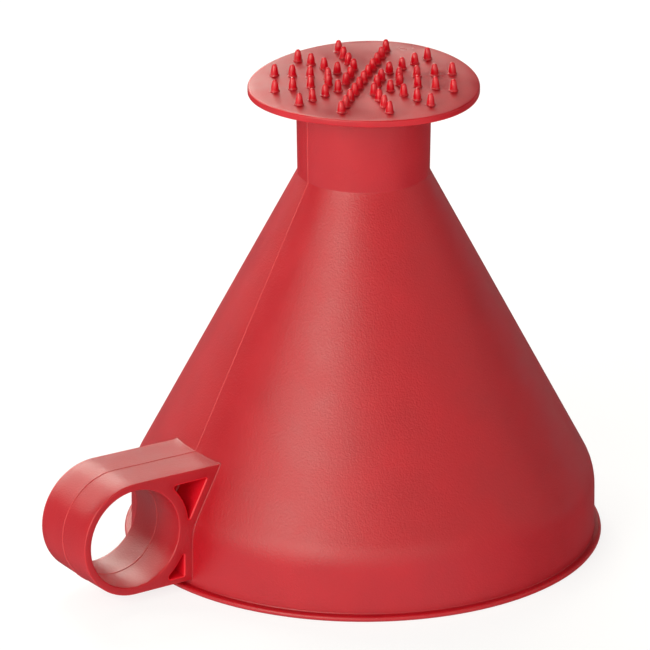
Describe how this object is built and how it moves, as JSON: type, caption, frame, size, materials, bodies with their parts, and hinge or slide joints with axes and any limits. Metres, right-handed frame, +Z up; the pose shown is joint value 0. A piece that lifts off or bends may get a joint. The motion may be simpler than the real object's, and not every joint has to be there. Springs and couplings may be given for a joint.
{
  "type": "cone ice scraper funnel",
  "caption": "Hollow plastic cone with a wide lipped rim, a round neck, a side ring handle and a push-in toothed cap. Scrapes ice rim down, or works as a funnel with the cap off.",
  "frame": {"origin": "on the surface the rim stands on, under the middle of the overall box", "axes": "+Z up along the cone's axis towards the cap, -X towards the ring handle, the cone's axis at x = 15.4 mm"},
  "size_m": [0.1608, 0.13, 0.1325],
  "materials": {
    "body_plastic": "satin red polypropylene with a fine sand-blast grain",
    "cap_plastic": "satin red polypropylene, smoother and glossier on the teeth"
  },
  "bodies": {
    "funnel": {"funnel_body": "body_plastic"},
    "cap": {"ice_breaker_cap": "cap_plastic"}
  },
  "joints": [
    {"name": "cap_lift", "type": "slide", "parent": "funnel", "child": "cap", "axis": [0, 0, 1], "range_m": [0, 0.03]}
  ]
}
